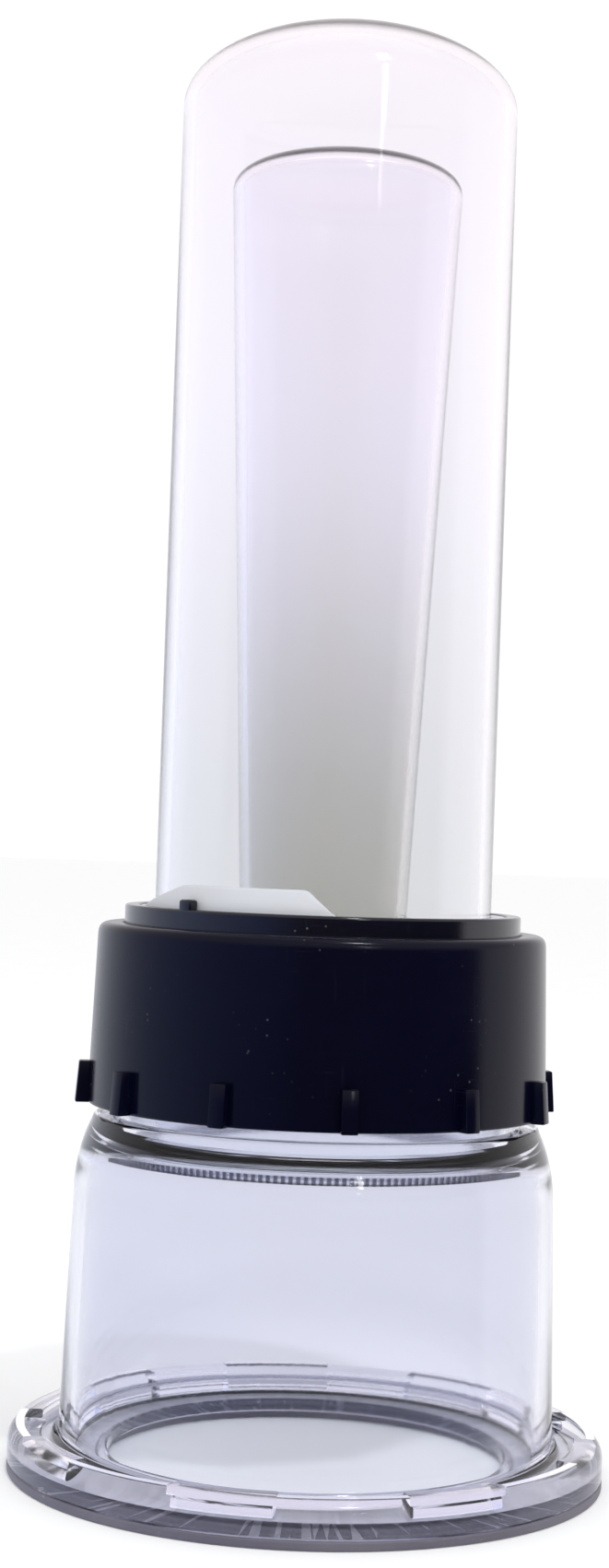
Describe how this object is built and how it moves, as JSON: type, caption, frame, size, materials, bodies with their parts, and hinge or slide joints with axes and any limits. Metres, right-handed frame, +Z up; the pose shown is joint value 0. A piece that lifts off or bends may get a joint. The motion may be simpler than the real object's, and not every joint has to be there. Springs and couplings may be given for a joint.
{
  "type": "fuel sampler cup",
  "caption": "Aircraft fuel sampler: clear wide-mouth catch cup with a bayonet mouth ring, black clamping collar and a long clear sample tube holding an inner vial.",
  "frame": {"origin": "centre of the mouth, on the surface that the sampler stands on", "axes": "+Z up along the tube's axis, towards the dome; the wedge ring's raised tab is on the -Y side"},
  "size_m": [0.0878, 0.0878, 0.2144],
  "materials": {
    "cup_plastic": "clear polycarbonate, glossy",
    "ring_plastic": "clear polycarbonate, dark at its edges",
    "tube_plastic": "clear acrylic, glossy",
    "vial_plastic": "clear plastic, slightly smoky",
    "collar_black": "moulded, semi-gloss",
    "ferrule_black": "moulded, semi-gloss",
    "retainer_plastic": "clear polycarbonate, satin",
    "wedge_white": "natural nylon, satin",
    "strainer_white": "moulded nylon, satin",
    "seat_white": "moulded nylon, satin",
    "washer_white": "PTFE, waxy",
    "screen_steel": "woven stainless wire",
    "seal_black": "nitrile, matte",
    "mouth_rubber": "soft grey elastomer, satin"
  },
  "bodies": {
    "cup": {"catch_cup": "cup_plastic", "neck_gasket": "seal_black", "vial_seat": "seat_white", "vial_grommet": "seal_black"},
    "mouth": {"bayonet_ring": "ring_plastic", "foot_seal": "seal_black", "mouth_gasket": "mouth_rubber"},
    "strainer": {"strainer_gasket": "seal_black", "support_grid": "strainer_white", "separator_screen": "screen_steel", "screen_clamp_ring": "strainer_white"},
    "retainer": {"retaining_ring": "retainer_plastic"},
    "vial": {"inner_vial": "vial_plastic"},
    "tube": {"ferrule_gasket": "seal_black", "tube_ferrule": "ferrule_black", "tube_oring": "seal_black", "sample_tube": "tube_plastic"},
    "wedge": {"wedge_ring": "wedge_white"},
    "washer": {"slip_washer": "washer_white"},
    "collar": {"clamp_collar": "collar_black"}
  },
  "joints": [
    {"name": "mouth_turn", "type": "hinge", "parent": "cup", "child": "mouth", "pos_m": [0, 0, 0], "axis": [0, 0, 1], "range_deg": [0, 22.5]},
    {"name": "strainer_drop", "type": "slide", "parent": "cup", "child": "strainer", "axis": [0, 0, -1], "range_m": [0, 0.006]},
    {"name": "retainer_turn", "type": "hinge", "parent": "strainer", "child": "retainer", "pos_m": [0, 0, 0.05], "axis": [0, 0, -1], "range_deg": [0, 1080]},
    {"name": "vial_lift", "type": "slide", "parent": "cup", "child": "vial", "axis": [0, 0, 1], "range_m": [0, 0.012]},
    {"name": "tube_lift", "type": "slide", "parent": "cup", "child": "tube", "axis": [0, 0, 1], "range_m": [0, 0.04]},
    {"name": "wedge_pull", "type": "slide", "parent": "tube", "child": "wedge", "axis": [0, 0, 1], "range_m": [0, 0.01]},
    {"name": "collar_rise", "type": "slide", "parent": "tube", "child": "washer", "axis": [0, 0, 1], "range_m": [0, 0.009]},
    {"name": "collar_turn", "type": "hinge", "parent": "washer", "child": "collar", "pos_m": [0, 0, 0.067], "axis": [0, 0, 1], "range_deg": [0, 1080]}
  ],
  "couplings": [
    {"joint": "strainer_drop", "follows": "retainer_turn", "m_per_rad": 0.0003183},
    {"joint": "collar_rise", "follows": "collar_turn", "m_per_rad": 0.0004774}
  ]
}
